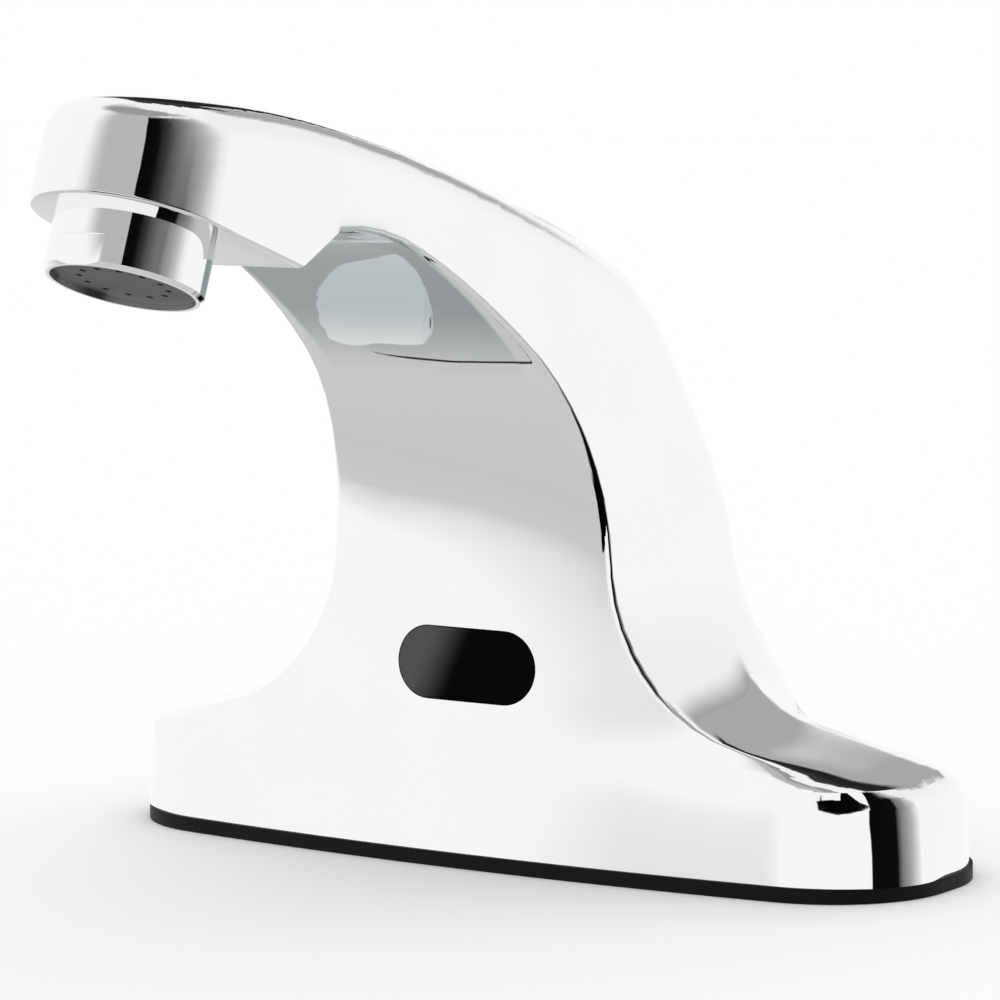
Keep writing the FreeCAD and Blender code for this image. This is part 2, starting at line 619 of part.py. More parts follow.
def pipe(path, radius):
    """round bar along an outline in the middle plane, each bend turned about its own centre"""
    lengths = []
    for run in path.runs:
        (u, v), heading = path.along(run, 0)
        turn = math.radians(heading)
        along = V(0, math.cos(turn), math.sin(turn))
        disc = Part.Face(Part.Wire(Part.makeCircle(radius, V(0, u, v), along)))
        if run[0] == "line":
            lengths.append(disc.extrude(along * run[1]))
        else:
            centre = V(0, u - run[4] * math.sin(turn), v + run[4] * math.cos(turn))
            side = math.copysign(1, run[4])
            lengths.append(disc.revolve(centre, V(side, 0, 0), math.degrees(run[1] / abs(run[4]))))
    return lengths[0].fuse(lengths[1:])


# ---------------------------------------------------------------- casting

def casting_outside():
    """loft of the base and the spout, joined to the round tip"""
    base, spout = list(base_sections()), list(spout_sections())
    loft = Part.makeLoft([section(*row) for row in base + spout], True, True)
    return loft.fuse([tip_solid(spout[-1])], size("joint_tolerance"))


def base_hollow():
    """recess for the base plate and the chamber for valve and sensor, open to the deck"""
    recess = rounded(box("-pocket_half_length", "pocket_half_length", "-chamber_front", "chamber_back",
                         "0", "pocket_top"), upright, "pocket_corner")
    plate_bosses = [cylinder("plate_screw_radius * 2", "pocket_top", x, "0", PLATE_TOP)
                    for x in ("-plate_screw_offset", "plate_screw_offset")]
    chamber = box("-" + CHAMBER_HALF, CHAMBER_HALF, "-chamber_front", "chamber_back", "0", "chamber_top")
    chamber = rounded(chamber, lambda e: upright(e) and e.BoundBox.YMax < 0, "chamber_front_corner")
    chamber = rounded(chamber, lambda e: upright(e) and e.BoundBox.YMin > 0, "chamber_back_corner")
    ear_bosses = [lying_cylinder("ear_radius", "%s + chamber_front + 1" % HOUSING_FRONT, x,
                                 "-chamber_front - 1", "window_level")
                  for x in ("-" + EAR_SIDE, EAR_SIDE)]
    return [cut(recess, *plate_bosses), cut(chamber, *ear_bosses)]


def screw_holes():
    """blind holes of the casting: studs, base plate and sensor"""
    holes = []
    for side in ("-", ""):
        holes.append(cylinder("stud_insert_radius", "gasket_thickness + stud_insert_length",
                              side + "stud_spacing / 2"))
        holes.append(cylinder("plate_screw_radius", "plate_screw_length", side + "plate_screw_offset", "0",
                              PLATE_TOP))
        holes.append(lying_cylinder("sensor_screw_radius", "%s + chamber_front + sensor_screw_grip" % HOUSING_FRONT,
                                    side + EAR_SIDE, "-chamber_front - sensor_screw_grip", "window_level"))
    return holes


def outlet_hollow():
    """threaded socket, water space above it and the passage of the spout tube"""
    socket = cylinder("aerator_thread_radius + thread_clearance", "%s + 2" % SOCKET_SHOULDER)
    space = cylinder("aerator_thread_radius - socket_step", "socket_depth + 2")
    for tool in (socket, space):
        on_outlet(tool, "-2")
    end = size("tube_end_length") + size("passage_lead")
    bore = size("tube_radius") + size("tube_bore_clearance")
    return [socket, space, free_shape("passage", pipe(water_path(size("chamber_top") - 1, end), bore))]


def window_hole():
    return stadium("window_length + 2 * window_clearance", "window_height + 2 * window_clearance",
                   "-base_depth / 2", "-chamber_front + 1", "window_level")


def build_casting():
    outside = free_shape("outside", casting_outside())
    hollows = base_hollow() + screw_holes() + outlet_hollow() + [window_hole()]
    return label(cut(outside, *hollows), "body"), outside


# ---------------------------------------------------------------- deck side

def build_gasket():
    """flat gasket with the base's outline, a lip proud of the casting"""
    corner = size("base_corner_radius") + size("gasket_lip")
    half = size("base_depth") / 2
    outline = section((-half, 0), (half, 0), size("base_length") / 2, corner, corner,
                      size("base_front_bow"), size("base_end_bow"), size("base_front_bow"))
    sheet_solid = free_shape("gasket_sheet", Part.Face(outline).extrude(V(0, 0, size("gasket_thickness"))))
    opening = rounded(box("-pocket_half_length", "pocket_half_length", "-chamber_front", "chamber_back", "-1",
                          "gasket_thickness + 1"), upright, "pocket_corner")
    holes = [cylinder("gasket_hole_radius", "gasket_thickness + 2", side + "stud_spacing / 2", "0", "-1")
             for side in ("-", "")]
    label(cut(sheet_solid, opening, *holes), "base_gasket")


def build_stud_inserts():
    inserts = [cut(cylinder("stud_insert_radius", "stud_insert_length", side + "stud_spacing / 2", "0",
                            "gasket_thickness"),
                   cylinder("stud_bore_radius", "stud_hole_depth", side + "stud_spacing / 2", "0",
                            "gasket_thickness")) for side in ("-", "")]
    label(group(*inserts), "stud_inserts")


def build_base_plate():
    plate = rounded(box("-" + PLATE_HALF, PLATE_HALF, PLATE_FRONT, PLATE_BACK, "plate_level", PLATE_TOP),
                    upright, "plate_corner")
    holes = [cylinder("inlet_radius + fit_clearance", "3 * plate_thickness", "-inlet_side", "valve_back",
                      "plate_level - plate_thickness"),
             cylinder("gland_radius + fit_clearance", "3 * plate_thickness", "gland_side", "-gland_front",
                      "plate_level - plate_thickness")]
    for side in ("-", ""):
        holes.append(cylinder("plate_screw_radius + fit_clearance", "3 * plate_thickness",
                              side + "plate_screw_offset", "0", "plate_level - plate_thickness"))
        holes.append(cylinder("block_screw_radius + fit_clearance", "3 * plate_thickness",
                              side + "block_screw_side", "-block_screw_front", "plate_level - plate_thickness"))
    label(cut(plate, *holes), "base_plate")


def cap_screw(radius, grip, head, head_height, x, y, top):
    """screw driven upwards: the head's upper face lies at the level top"""
    return fuse(cylinder(radius, grip, x, y, top),
                cylinder(head, head_height, x, y, "%s - (%s)" % (top, head_height)))


def build_plate_screws():
    screws = [cap_screw("plate_screw_radius", "plate_screw_length", "plate_screw_head", "plate_screw_head_height",
                        side + "plate_screw_offset", "0", "plate_level") for side in ("-", "")]
    label(group(*screws), "plate_screws")
    screws = [cap_screw("block_screw_radius", "block_screw_grip + plate_thickness", "block_screw_head",
                        "plate_screw_head_height", side + "block_screw_side", "-block_screw_front", "plate_level")
              for side in ("-", "")]
    label(group(*screws), "block_screws")


def build_gland():
    """rubber gland of the sensor's lead, lipped on both faces of the base plate"""
    lip, thick = "gland_radius + gland_lip", "plate_thickness"
    turned("lead_gland", [("gland_bore_radius", "-gland_lip"), (lip, "-gland_lip"), (lip, "0"),
                          ("gland_radius", "0"), ("gland_radius", thick), (lip, thick),
                          (lip, thick + " + gland_lip"), ("gland_bore_radius", thick + " + gland_lip")],
           "gland_side", "-gland_front", "plate_level")


# ---------------------------------------------------------------- sensor

def build_window(outside):
    """dark lens, flush with the casting's face, with a flange behind the wall"""
    lens = stadium("window_length", "window_height", "-base_depth / 2", FLANGE_BACK, "window_level")
    flush = doc.addObject("Part::MultiCommon", "flush")
    flush.Shapes = [lens, outside]
    flange = stadium("window_length + 2 * window_flange", "window_height + 2 * window_flange",
                     WALL_INSIDE, FLANGE_BACK, "window_level")
    label(fuse(flush, flange), "sensor_window")
    outer = stadium("window_length + 2 * window_flange", "window_height + 2 * window_flange",
                    FLANGE_BACK, HOUSING_FRONT, "window_level")
    inner = stadium("window_length + 2 * window_flange - 2 * window_seal_width",
                    "window_height + 2 * window_flange - 2 * window_seal_width",
                    FLANGE_BACK + " - 1", HOUSING_FRONT + " + 1", "window_level")
    label(cut(outer, inner), "window_seal")


def build_sensor_housing():
    """open-fronted tray with two ears"""
    back = "%s + housing_depth" % HOUSING_FRONT
    tray = box("-" + HOUSING_HALF, HOUSING_HALF, HOUSING_FRONT, back,
               "window_level - housing_height / 2", "window_level + housing_height / 2")
    hollow = box("-%s + housing_wall" % HOUSING_HALF, "%s - housing_wall" % HOUSING_HALF,
                 HOUSING_FRONT + " - 1", BOARD_BACK, "window_level - housing_height / 2 + housing_wall",
                 "window_level + housing_height / 2 - housing_wall")
    ears, holes = [], []
    for side in ("-", ""):
        x = side + EAR_SIDE
        ears.append(lying_cylinder("ear_radius", "ear_thickness", x, HOUSING_FRONT, "window_level"))
        holes.append(lying_cylinder("sensor_screw_radius + fit_clearance", "ear_thickness + 2", x,
                                    HOUSING_FRONT + " - 1", "window_level"))
    bridge = box("-" + EAR_SIDE, EAR_SIDE, HOUSING_FRONT, HOUSING_FRONT + " + ear_thickness",
                 "window_level - ear_radius", "window_level + ear_radius")
    label(cut(fuse(tray, bridge, *ears), hollow, *holes), "sensor_housing")


def build_circuit_board():
    half = "%s - housing_wall - board_clearance" % HOUSING_HALF
    edge = "housing_height / 2 - housing_wall - board_clearance"
    label(box("-(%s)" % half, half, BOARD_BACK + " - board_thickness", BOARD_BACK,
              "window_level - (%s)" % edge, "window_level + " + edge), "circuit_board")
    front = BOARD_BACK + " - board_thickness"
    label(box("-chip_length / 2", "chip_length / 2", front + " - chip_thickness", front,
              "window_level - chip_length / 2", "window_level + chip_length / 2"), "sensor_chip")
    for side, name in (("-", "infrared_emitter"), ("", "infrared_receiver")):
        owner = turned(name, [("0", "0"), ("diode_radius", "0"), ("diode_radius", "diode_length"),
                              ("diode_radius * 0.7", "diode_length + diode_radius * 0.7"),
                              ("0", "diode_length + diode_radius")],
                       side + "diode_spacing / 2", front, "window_level")
        owner.Placement.Rotation = FreeCAD.Rotation(V(1, 0, 0), 90)


def build_sensor_screws():
    face = HOUSING_FRONT + " + ear_thickness"
    depth = "%s + ear_thickness + chamber_front + sensor_screw_grip" % HOUSING_FRONT
    screws = []
    for side in ("-", ""):
        x = side + EAR_SIDE
        screws.append(fuse(lying_cylinder("sensor_screw_radius", depth, x, "-chamber_front - sensor_screw_grip",
                                          "window_level"),
                           lying_cylinder("sensor_screw_head", "sensor_screw_head_height", x, face,
                                          "window_level")))
    label(group(*screws), "sensor_screws")


# ---------------------------------------------------------------- inlet and check valve

def build_inlet():
    groove = "inlet_spigot_radius - inlet_groove_depth"
    low = "inlet_shoulder + inlet_spigot_length / 2 - inlet_groove_height / 2"
    high = "inlet_shoulder + inlet_spigot_length / 2 + inlet_groove_height / 2"
    strainer_top = THREAD_TOP + " + strainer_thickness"
    turned("inlet_fitting", [("inlet_thread_radius", "inlet_bottom"), ("inlet_radius", "inlet_bottom"),
                             ("inlet_radius", PLATE_TOP), ("inlet_flange_radius", PLATE_TOP),
                             ("inlet_flange_radius", "inlet_shoulder"), ("inlet_spigot_radius", "inlet_shoulder"),
                             ("inlet_spigot_radius", low), (groove, low), (groove, high),
                             ("inlet_spigot_radius", high), ("inlet_spigot_radius", SPIGOT_TOP),
                             ("inlet_bore_radius", SPIGOT_TOP), ("inlet_bore_radius", strainer_top),
                             ("strainer_radius", strainer_top), ("strainer_radius", THREAD_TOP),
                             ("inlet_thread_radius", THREAD_TOP)], "-inlet_side", "valve_back")
    edge = "strainer_radius - fit_clearance"
    strainer = turned("inlet_strainer", [("0", "0"), (edge, "0"), (edge, "strainer_thickness"),
                                         ("0", "strainer_thickness")], "-inlet_side", "valve_back", THREAD_TOP)
    ring_of_holes(strainer, "strainer_hole_radius", "strainer_pitch", 6)
    seal_ring("inlet_seal", groove, "inlet_spigot_radius", "-inlet_side", "valve_back",
              "inlet_shoulder + inlet_spigot_length / 2")


def build_check_valve():
    """poppet that lifts off the fitting's end face, its light spring and the guide above"""
    foot = SPIGOT_TOP + " + fit_clearance"
    top = "check_thickness + check_stem_length"
    turned("check_poppet", [("0", "0"), ("check_radius", "0"), ("check_radius", "check_thickness"),
                            ("check_stem_radius", "check_thickness"), ("check_stem_radius", top), ("0", top)],
           "-inlet_side", "valve_back", foot)
    edge = "check_bore_radius - fit_clearance"
    bore = "check_stem_radius + fit_clearance"
    guide = turned("check_guide", [(bore, "0"), (edge, "0"), (edge, "guide_thickness"), (bore, "guide_thickness")],
                   "-inlet_side", "valve_back", GUIDE_LEVEL)
    ring_of_holes(guide, "guide_hole_radius", "guide_pitch", 4)
    spring_sleeve("check_spring", "check_spring_radius", "check_spring_wire", foot + " + check_thickness",
                  GUIDE_LEVEL, "-inlet_side", "valve_back")


# ---------------------------------------------------------------- main valve

def inlet_side_cuts():
    """fitting's seat, check valve's bore with its step and the port to the ring space"""
    x, y = "-inlet_side", "valve_back"
    step = GUIDE_LEVEL + " + guide_thickness"
    roof = "block_top - check_roof"
    return [cylinder("inlet_flange_radius + fit_clearance", "inlet_shoulder", x, y),
            cylinder("inlet_spigot_radius + fit_clearance", SPIGOT_TOP, x, y),
            cylinder("check_bore_radius", "%s - %s" % (step, SPIGOT_TOP), x, y, SPIGOT_TOP),
            cylinder("check_bore_radius - guide_step", "%s - %s" % (roof, SPIGOT_TOP), x, y, SPIGOT_TOP),
            cross_cylinder("port_radius", "inlet_side + seat_side - (annulus_radius + seat_radius) / 2", x, y,
                           "port_level")]


def outlet_side_cuts():
    """ring space, seat, outlet port and the riser with the spout tube's socket"""
    x, y = "seat_side", "valve_back"
    ring_foot = LEDGE + " - annulus_depth"
    post = cylinder("seat_radius", "annulus_depth - fit_clearance + 1", x, y, ring_foot + " - 1")
    ring = cut(cylinder("annulus_radius", "annulus_depth + 0.5", x, y, ring_foot), post)
    low = "outlet_level - outlet_port_radius - drill_depth"
    return [cylinder("ledge_radius", "ledge_depth + 1", x, y, LEDGE), ring,
            cylinder("seat_bore_radius", "%s - (%s) + 1" % (LEDGE, low), x, y, low),
            lying_cylinder("outlet_port_radius", "valve_back + tube_front + cross_port_radius + drill_depth", x,
                           "-tube_front - cross_port_radius - drill_depth", "outlet_level"),
            cross_cylinder("cross_port_radius", x, "0", "-tube_front", "outlet_level"),
            cylinder("riser_radius", "tube_foot_level - (%s) + 1" % low, "0", "-tube_front", low),
            cylinder("tube_radius + fit_clearance", "block_top", "0", "-tube_front", "tube_foot_level"),
            cylinder("ring_groove_radius", "ring_groove_height", "0", "-tube_front", "ring_groove_level")]


def bonnet_ear(side):
    """place of one of the bonnet's two ears, on the diagonal through the seat"""
    return ("seat_side %s %s * cos(45)" % (side, BONNET_REACH),
            "valve_back %s %s * sin(45)" % ("-" if side == "+" else "+", BONNET_REACH))


def build_valve_block():
    block = box("-" + BLOCK_HALF, BLOCK_HALF, "-block_front", BLOCK_BACK, PLATE_TOP, "block_top")
    block = rounded(block, lambda e: upright(e) and e.BoundBox.YMin > 0, "block_corner")
    screws = [cylinder("block_screw_radius", "block_screw_grip + %s" % PLATE_TOP, side + "block_screw_side",
                       "-block_screw_front") for side in ("-", "")]
    for side in ("-", "+"):
        x, y = bonnet_ear(side)
        screws.append(cylinder("bonnet_screw_radius", "bonnet_screw_grip + 1", x, y,
                               "block_top - bonnet_screw_grip"))
    label(cut(block, *(inlet_side_cuts() + outlet_side_cuts() + screws)), "valve_block")
    seal_ring("tube_seal", "tube_radius + fit_clearance", "ring_groove_radius", "0", "-tube_front",
              "ring_groove_level + ring_groove_height / 2")


def build_diaphragm():
    """rubber diaphragm with a thicker rim and a bleed hole, and the rigid disc that it carries"""
    edge, inner = "ledge_radius - fit_clearance", "ledge_radius - rim_width"
    owner = turned("diaphragm", [("0", "0"), (edge, "0"), (edge, "ledge_depth"), (inner, "ledge_depth"),
                                 (inner, "web_thickness"), ("0", "web_thickness")],
                   "seat_side", "valve_back", LEDGE)
    disc = turned("diaphragm_disc", [("disc_bore_radius", "0"), ("disc_radius", "0"),
                                     ("disc_radius", "disc_thickness / 2"),
                                     ("disc_radius * 0.8", "disc_thickness"),
                                     ("disc_bore_radius", "disc_thickness")],
                  "seat_side", "valve_back", DISC_FOOT)
    return owner, disc


def build_bonnet():
    """cover of the pilot chamber, with two screw ears and the core tube's seat"""
    x, y = "seat_side", "valve_back"
    ears, holes, screws = [], [], []
    for side in ("-", "+"):
        ex, ey = bonnet_ear(side)
        ears.append(cylinder("bonnet_ear_radius", "bonnet_ear_thickness", ex, ey, "block_top"))
        holes.append(cylinder("bonnet_screw_radius + fit_clearance", "bonnet_thickness", ex, ey, "block_top - 1"))
        top = "block_top + bonnet_ear_thickness"
        screws.append(fuse(cylinder("bonnet_screw_radius", "bonnet_screw_grip + bonnet_ear_thickness", ex, ey,
                                    "block_top - bonnet_screw_grip"),
                           cylinder("bonnet_screw_head", "bonnet_screw_head_height", ex, ey, top)))
    web = doc.addObject("Part::Box", "ear_web")
    bind(web, Length="2 * " + BONNET_REACH, Width="2 * bonnet_ear_radius", Height="bonnet_ear_thickness")
    web.Placement.Rotation = FreeCAD.Rotation(V(0, 0, 1), -45)
    bind(web, Placement__Base__x="seat_side - (%s + bonnet_ear_radius) * cos(45)" % BONNET_REACH,
         Placement__Base__y="valve_back + (%s - bonnet_ear_radius) * sin(45)" % BONNET_REACH,
         Placement__Base__z="block_top")
    cover = fuse(cylinder("bonnet_radius", "bonnet_thickness", x, y, "block_top"), web, *ears)
    hollow = [cylinder("pilot_radius", "%s - block_top + 1" % PILOT_ROOF, x, y, "block_top - 1"),
              cylinder(CORE_BORE, "bonnet_thickness + 2", x, y, "block_top - 1"),
              cylinder(CORE_OUTER, "core_recess + 1", x, y, CORE_FOOT)]
    label(cut(cover, *(hollow + holes)), "bonnet")
    label(group(*screws), "bonnet_screws")


# ---------------------------------------------------------------- solenoid

def build_core():
    """core tube, the fixed stop in its top and the plunger with its soft seat and spring"""
    x, y = "seat_side", "valve_back"
    tall = "%s - %s" % (CORE_TOP, CORE_FOOT)
    turned("core_tube", [(CORE_BORE, "0"), (CORE_OUTER, "0"), (CORE_OUTER, tall), (CORE_BORE, tall)],
           x, y, CORE_FOOT)
    stop_foot = "%s + plunger_length + plunger_travel + stop_gap" % PLUNGER_FOOT
    deep = "%s - (%s)" % (CORE_TOP, stop_foot)
    turned("pole_stop", [("0", "-(%s)" % deep), ("plunger_radius", "-(%s)" % deep), ("plunger_radius", "0"),
                         ("stop_head_radius", "0"), ("stop_head_radius", "stop_head_height"),
                         ("0", "stop_head_height")], x, y, CORE_TOP)
    floor = "plunger_length - plunger_pocket_depth"
    turned("plunger", [("0", "pilot_seat_height"), ("pilot_seat_radius", "pilot_seat_height"),
                       ("pilot_seat_radius", "0"), ("plunger_radius", "0"), ("plunger_radius", "plunger_length"),
                       ("plunger_pocket_radius", "plunger_length"), ("plunger_pocket_radius", floor),
                       ("0", floor)], x, y, PLUNGER_FOOT)
    turned("pilot_seat", [("0", "0"), ("pilot_seat_radius", "0"), ("pilot_seat_radius", "pilot_seat_height"),
                          ("0", "pilot_seat_height")], x, y, PLUNGER_FOOT)
    spring_sleeve("plunger_spring", "plunger_spring_radius", "plunger_spring_wire",
                  "%s + %s" % (PLUNGER_FOOT, floor), stop_foot, x, y)


def build_coil():
    """bobbin, winding and the bent iron yoke round them"""
    x, y = "seat_side", "valve_back"
    bore = CORE_OUTER + " + fit_clearance"
    hub = bore + " + coil_hub_wall"
    foot = BONNET_TOP + " + yoke_thickness"
    low, high = "coil_flange", "coil_length - coil_flange"
    turned("coil_bobbin", [(bore, "0"), ("coil_radius", "0"), ("coil_radius", low), (hub, low), (hub, high),
                           ("coil_radius", high), ("coil_radius", "coil_length"), (bore, "coil_length")],
           x, y, foot)
    outer = "coil_radius - coil_depth"
    turned("coil_winding", [(hub, low), (outer, low), (outer, high), (hub, high)], x, y, foot)
    side = ("seat_side - yoke_half_width", "seat_side + yoke_half_width")
    back = "valve_back + coil_radius + yoke_gap"
    ends = (y + " - yoke_half_width", back + " + yoke_thickness")
    upper = foot + " + coil_length"
    plates = [box(*side, *ends, BONNET_TOP, foot), box(*side, *ends, upper, CORE_TOP),
              box(*side, back, back + " + yoke_thickness", BONNET_TOP, CORE_TOP)]
    label(cut(fuse(*plates), cylinder(bore, "3 * coil_length", x, y, BONNET_TOP + " - 1")), "coil_yoke")


# ---------------------------------------------------------------- spout tube and outlet

def build_spout_tube():
    path = water_path(size("tube_foot_level"), size("tube_end_length"))
    outer = free_shape("tube_outer", pipe(path, size("tube_radius")))
    inner = free_shape("tube_inner", pipe(path, size("tube_radius") - size("tube_wall")))
    label(cut(outer, inner), "spout_tube")
    (u, v), heading = path.at(path.length)
    turn = math.radians(heading)
    along = V(0, math.cos(turn), math.sin(turn))
    start = V(0, u, v) - along * size("tube_sleeve_length")
    gap = size("fit_clearance") / 2
    sleeve = Part.makeCylinder(size("tube_radius") + size("tube_bore_clearance") - gap,
                               size("tube_sleeve_length"), start, along)
    bore = Part.makeCylinder(size("tube_radius") + gap, size("tube_sleeve_length"), start, along)
    label(free_shape("tube_sleeve", sleeve.cut(bore)), "tube_sleeve")


def build_aerator():
    """screwed housing, and in it from below: spray face, two screens, flow regulator, washer on top"""
    bore, mouth = "aerator_bore_radius", "aerator_mouth_radius"
    housing = turned("aerator_housing", [(mouth, "-aerator_drop"), ("aerator_radius - aerator_edge", "-aerator_drop"),
                                         ("aerator_radius", "-aerator_drop + aerator_edge"),
                                         ("aerator_radius", "0"), ("aerator_thread_radius", "0"),
                                         ("aerator_thread_radius", "aerator_thread_length"),
                                         (bore, "aerator_thread_length"), (bore, SPRAY_TOP), (mouth, SPRAY_TOP)])
    flats = sketch_on(housing, "XY_Plane", "flats")
    near, far = "aerator_radius - aerator_flat_depth", "aerator_radius + 2"
    for side in ("", "-"):
        add_polygon(flats, [("-aerator_radius", side + "(%s)" % near), ("aerator_radius", side + "(%s)" % near),
                            ("aerator_radius", side + "(%s)" % far), ("-aerator_radius", side + "(%s)" % far)])
    flats.AttachmentOffset.Base = V(0, 0, -size("aerator_drop"))
    bind(flats, AttachmentOffset__Base__z="-aerator_drop")
    pocket = housing.newObject("PartDesign::Pocket", "flat")
    pocket.Profile = flats
    pocket.Reversed = True
    bind(pocket, Length="aerator_flat_height")
    on_outlet(housing)
    build_spray_face(mouth + " - fit_clearance")
    build_aerator_inside(bore + " - fit_clearance")
    wide = "aerator_thread_radius"
    on_outlet(turned("aerator_washer", [(wide + " - washer_width", "0"), (wide, "0"), (wide, "washer_thickness"),
                                        (wide + " - washer_width", "washer_thickness")]), "aerator_thread_length")


def build_spray_face(edge):
    """plastic face with its ring of jets, pressed into the housing's mouth"""
    face = turned("spray_face", [("0", "0"), (edge, "0"), (edge, "spray_face_thickness"),
                                 ("0", "spray_face_thickness")])
    ring_of_holes(face, "spray_hole_radius", "spray_pitch", 12)
    on_outlet(face, SPRAY_FOOT)


def build_aerator_inside(edge):
    level = SPRAY_TOP
    rim, thin = edge + " - screen_rim", "screen_thickness"
    for name, turn in (("lower_screen", 0), ("upper_screen", 30)):
        screen = turned(name, [("0", "0"), (edge, "0"), (edge, "screen_height"), (rim, "screen_height"),
                               (rim, thin), ("0", thin)])
        ring_of_holes(screen, "screen_hole_radius", "screen_pitch", 6, turn, 4)
        on_outlet(screen, level)
        level += " + screen_height"
    regulator = turned("flow_regulator", [("0", "0"), (edge, "0"), (edge, "regulator_thickness"),
                                          (edge + " - screen_rim * 2", "regulator_thickness"),
                                          (edge + " - screen_rim * 2", "regulator_thickness / 2"),
                                          ("0", "regulator_thickness / 2")])
    ring_of_holes(regulator, "regulator_hole_radius", "regulator_pitch", 4)
    on_outlet(regulator, level)


# ---------------------------------------------------------------- the part

NODES = ("body", "base_gasket", "stud_inserts", "base_plate", "plate_screws", "block_screws", "lead_gland",
         "sensor_window", "window_seal", "sensor_housing", "circuit_board", "sensor_chip", "infrared_emitter",
         "infrared_receiver", "sensor_screws", "inlet_fitting", "inlet_strainer", "inlet_seal", "check_poppet",
         "check_guide", "check_spring", "valve_block", "tube_seal", "diaphragm", "diaphragm_disc", "bonnet",
         "bonnet_screws", "core_tube", "pole_stop", "plunger", "pilot_seat", "plunger_spring", "coil_bobbin",
         "coil_winding", "coil_yoke", "spout_tube", "tube_sleeve", "aerator_housing", "aerator_washer",
         "spray_face", "lower_screen", "upper_screen", "flow_regulator")


def build():
    _, outside = build_casting()
    build_gasket()
    build_stud_inserts()
    build_base_plate()
    build_plate_screws()
    build_gland()
    build_window(outside)
    build_sensor_housing()
    build_circuit_board()
    build_sensor_screws()
    build_inlet()
    build_check_valve()
    build_valve_block()
    build_diaphragm()
    build_bonnet()
    build_core()
    build_coil()
    build_spout_tube()
    build_aerator()
    doc.recompute()


def check_and_write():
    """every object computed and every piece a valid solid, before anything is written"""
    failed = [obj.Name for obj in doc.Objects if "Invalid" in obj.State or "Error" in obj.State]
    if failed:
        raise RuntimeError("objects that failed: %s" % failed)
    pieces = [(name, doc.getObjectsByLabel(name)[0].Shape) for name in NODES]
    for name, shape in pieces:
        if shape.isNull() or not shape.isValid() or not shape.Solids:
            raise RuntimeError("no valid solid: %s" % name)
    os.makedirs("parts", exist_ok=True)
    for name, shape in pieces:
        shape.exportStep("parts/%s.step" % name)
        print("%-18s solids %d volume %.1f" % (name, len(shape.Solids), shape.Volume))


build()
check_and_write()
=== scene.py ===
"""Sensor tap on a white ground: finishes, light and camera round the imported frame. Metres, +Z up."""
import json
import math

import bpy
import numpy as np
from mathutils import Matrix, Vector
from mathutils.kdtree import KDTree


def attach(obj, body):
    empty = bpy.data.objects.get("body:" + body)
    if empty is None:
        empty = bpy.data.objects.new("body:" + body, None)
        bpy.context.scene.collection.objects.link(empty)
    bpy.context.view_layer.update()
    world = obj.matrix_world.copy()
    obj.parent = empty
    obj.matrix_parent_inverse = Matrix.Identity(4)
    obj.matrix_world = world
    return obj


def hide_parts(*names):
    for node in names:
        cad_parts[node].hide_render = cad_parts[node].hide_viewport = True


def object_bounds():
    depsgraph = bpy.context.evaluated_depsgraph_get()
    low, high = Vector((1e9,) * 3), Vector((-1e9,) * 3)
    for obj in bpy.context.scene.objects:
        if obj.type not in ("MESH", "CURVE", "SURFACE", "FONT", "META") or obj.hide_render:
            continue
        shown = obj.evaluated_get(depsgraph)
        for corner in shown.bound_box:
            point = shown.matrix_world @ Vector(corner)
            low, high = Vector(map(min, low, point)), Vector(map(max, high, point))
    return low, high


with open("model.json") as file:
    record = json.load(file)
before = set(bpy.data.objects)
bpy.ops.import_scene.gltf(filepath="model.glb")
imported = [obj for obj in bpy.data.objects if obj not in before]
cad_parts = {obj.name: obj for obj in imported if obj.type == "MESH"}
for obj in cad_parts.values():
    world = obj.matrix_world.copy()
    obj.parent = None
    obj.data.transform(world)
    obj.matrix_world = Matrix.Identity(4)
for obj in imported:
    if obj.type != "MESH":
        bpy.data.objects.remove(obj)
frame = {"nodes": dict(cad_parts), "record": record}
nodes = frame["nodes"]
cad_box = [list(corner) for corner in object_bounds()]
bpy.ops.object.select_all(action="DESELECT")


# ---------------------------------------------------------------- materials

class Socket:
    """an output socket of a material, with arithmetic that adds Math nodes"""

    def __init__(self, tree, output):
        self.tree, self.output = tree, output

    def math(self, operation, *values):
        return self.tree.node("ShaderNodeMath", {"operation": operation}, *values)

    def __add__(self, other):
        return self.math("ADD", self, other)

    def __sub__(self, other):
        return self.math("SUBTRACT", self, other)

    def __rsub__(self, other):
        return self.math("SUBTRACT", other, self)

    def __mul__(self, other):
        return self.math("MULTIPLY", self, other)

    __radd__, __rmul__ = __add__, __mul__


